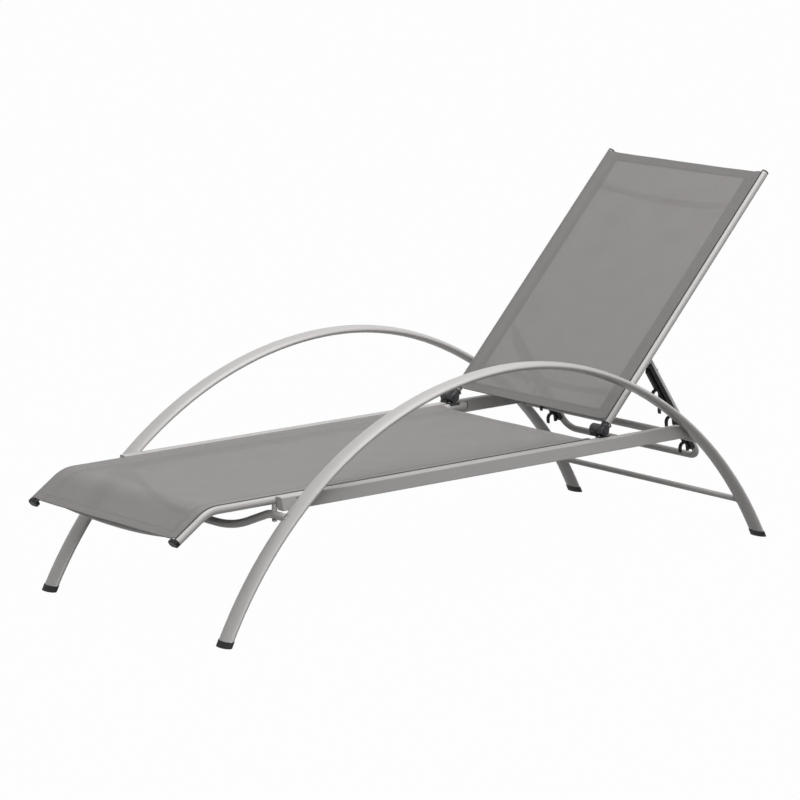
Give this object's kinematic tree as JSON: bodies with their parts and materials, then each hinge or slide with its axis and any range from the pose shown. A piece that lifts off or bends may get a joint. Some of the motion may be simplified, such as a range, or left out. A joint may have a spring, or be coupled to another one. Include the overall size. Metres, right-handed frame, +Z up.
{
  "type": "sun lounger",
  "caption": "Folding sun lounger: low arched side tubes as legs and armrests, a drop-front seat sling, and a reclining backrest sling held up by a notched U-shaped stand behind it",
  "frame": {"origin": "On the floor, at the middle of the lounger's length and width.", "axes": "+Z up. -X is the foot end and +X the head end, where the backrest rises. -Y is the left side of a person lying on it, +Y the right side. At rest the backrest stands 46.9 degrees above level, with the rear cross tube in the fourth notch of the stand."},
  "size_m": [1.7552, 0.6878, 0.8646],
  "materials": {
    "frame_silver": "powder-coated satin silver grey",
    "seat_textile": "woven mesh textile, mid grey",
    "back_textile": "woven mesh textile, mid grey",
    "edge_cord": "round plastic keder rod",
    "hinge_plastic": "satin charcoal moulding",
    "black_plastic": "black moulding",
    "foot_rubber": "matt black rubber",
    "dark_steel": "dark zinc-plated steel"
  },
  "bodies": {
    "frame": {"arch_tube_left": "frame_silver", "arch_tube_right": "frame_silver", "foot_caps": "foot_rubber", "side_beam_left": "frame_silver", "side_beam_right": "frame_silver", "beam_screws": "dark_steel", "seat_rail_left": "frame_silver", "seat_rail_right": "frame_silver", "seat_front_caps": "black_plastic", "seat_rear_caps": "black_plastic", "front_cross_tube": "frame_silver", "cross_tube_spacers": "frame_silver", "cross_tube_bolts": "dark_steel", "seat_front_bow": "frame_silver", "rear_cross_tube": "frame_silver", "rear_floor_brace": "frame_silver", "seat_sling": "seat_textile", "seat_sling_rods": "edge_cord", "hinge_seat_half_left": "hinge_plastic", "hinge_seat_half_right": "hinge_plastic", "hinge_base_screws": "dark_steel", "hinge_pins": "dark_steel"},
    "backrest": {"back_rail_left": "frame_silver", "back_rail_right": "frame_silver", "back_end_caps": "black_plastic", "back_top_bow": "frame_silver", "back_lower_bow": "frame_silver", "hinge_back_half_left": "hinge_plastic", "hinge_back_half_right": "hinge_plastic", "socket_screws": "dark_steel", "back_sling": "back_textile", "back_sling_rods": "edge_cord", "stand_pivot_bolts": "dark_steel", "stand_pivot_bushes": "black_plastic"},
    "stand": {"stand_tube": "frame_silver", "notch_rack_left": "black_plastic", "notch_rack_right": "black_plastic", "rack_screws": "dark_steel"}
  },
  "joints": [
    {"name": "backrest_recline", "type": "hinge", "parent": "frame", "child": "backrest", "pos_m": [0.3514, 0, 0.3055], "axis": [0, -1, 0], "range_deg": [0, 30]},
    {"name": "stand_swing", "type": "hinge", "parent": "backrest", "child": "stand", "pos_m": [0.50942, 0, 0.46851], "axis": [0, -1, 0], "range_deg": [-8.1, 0]}
  ],
  "couplings": [
    {"joint": "stand_swing", "follows": "backrest_recline", "ratio": -0.27}
  ]
}
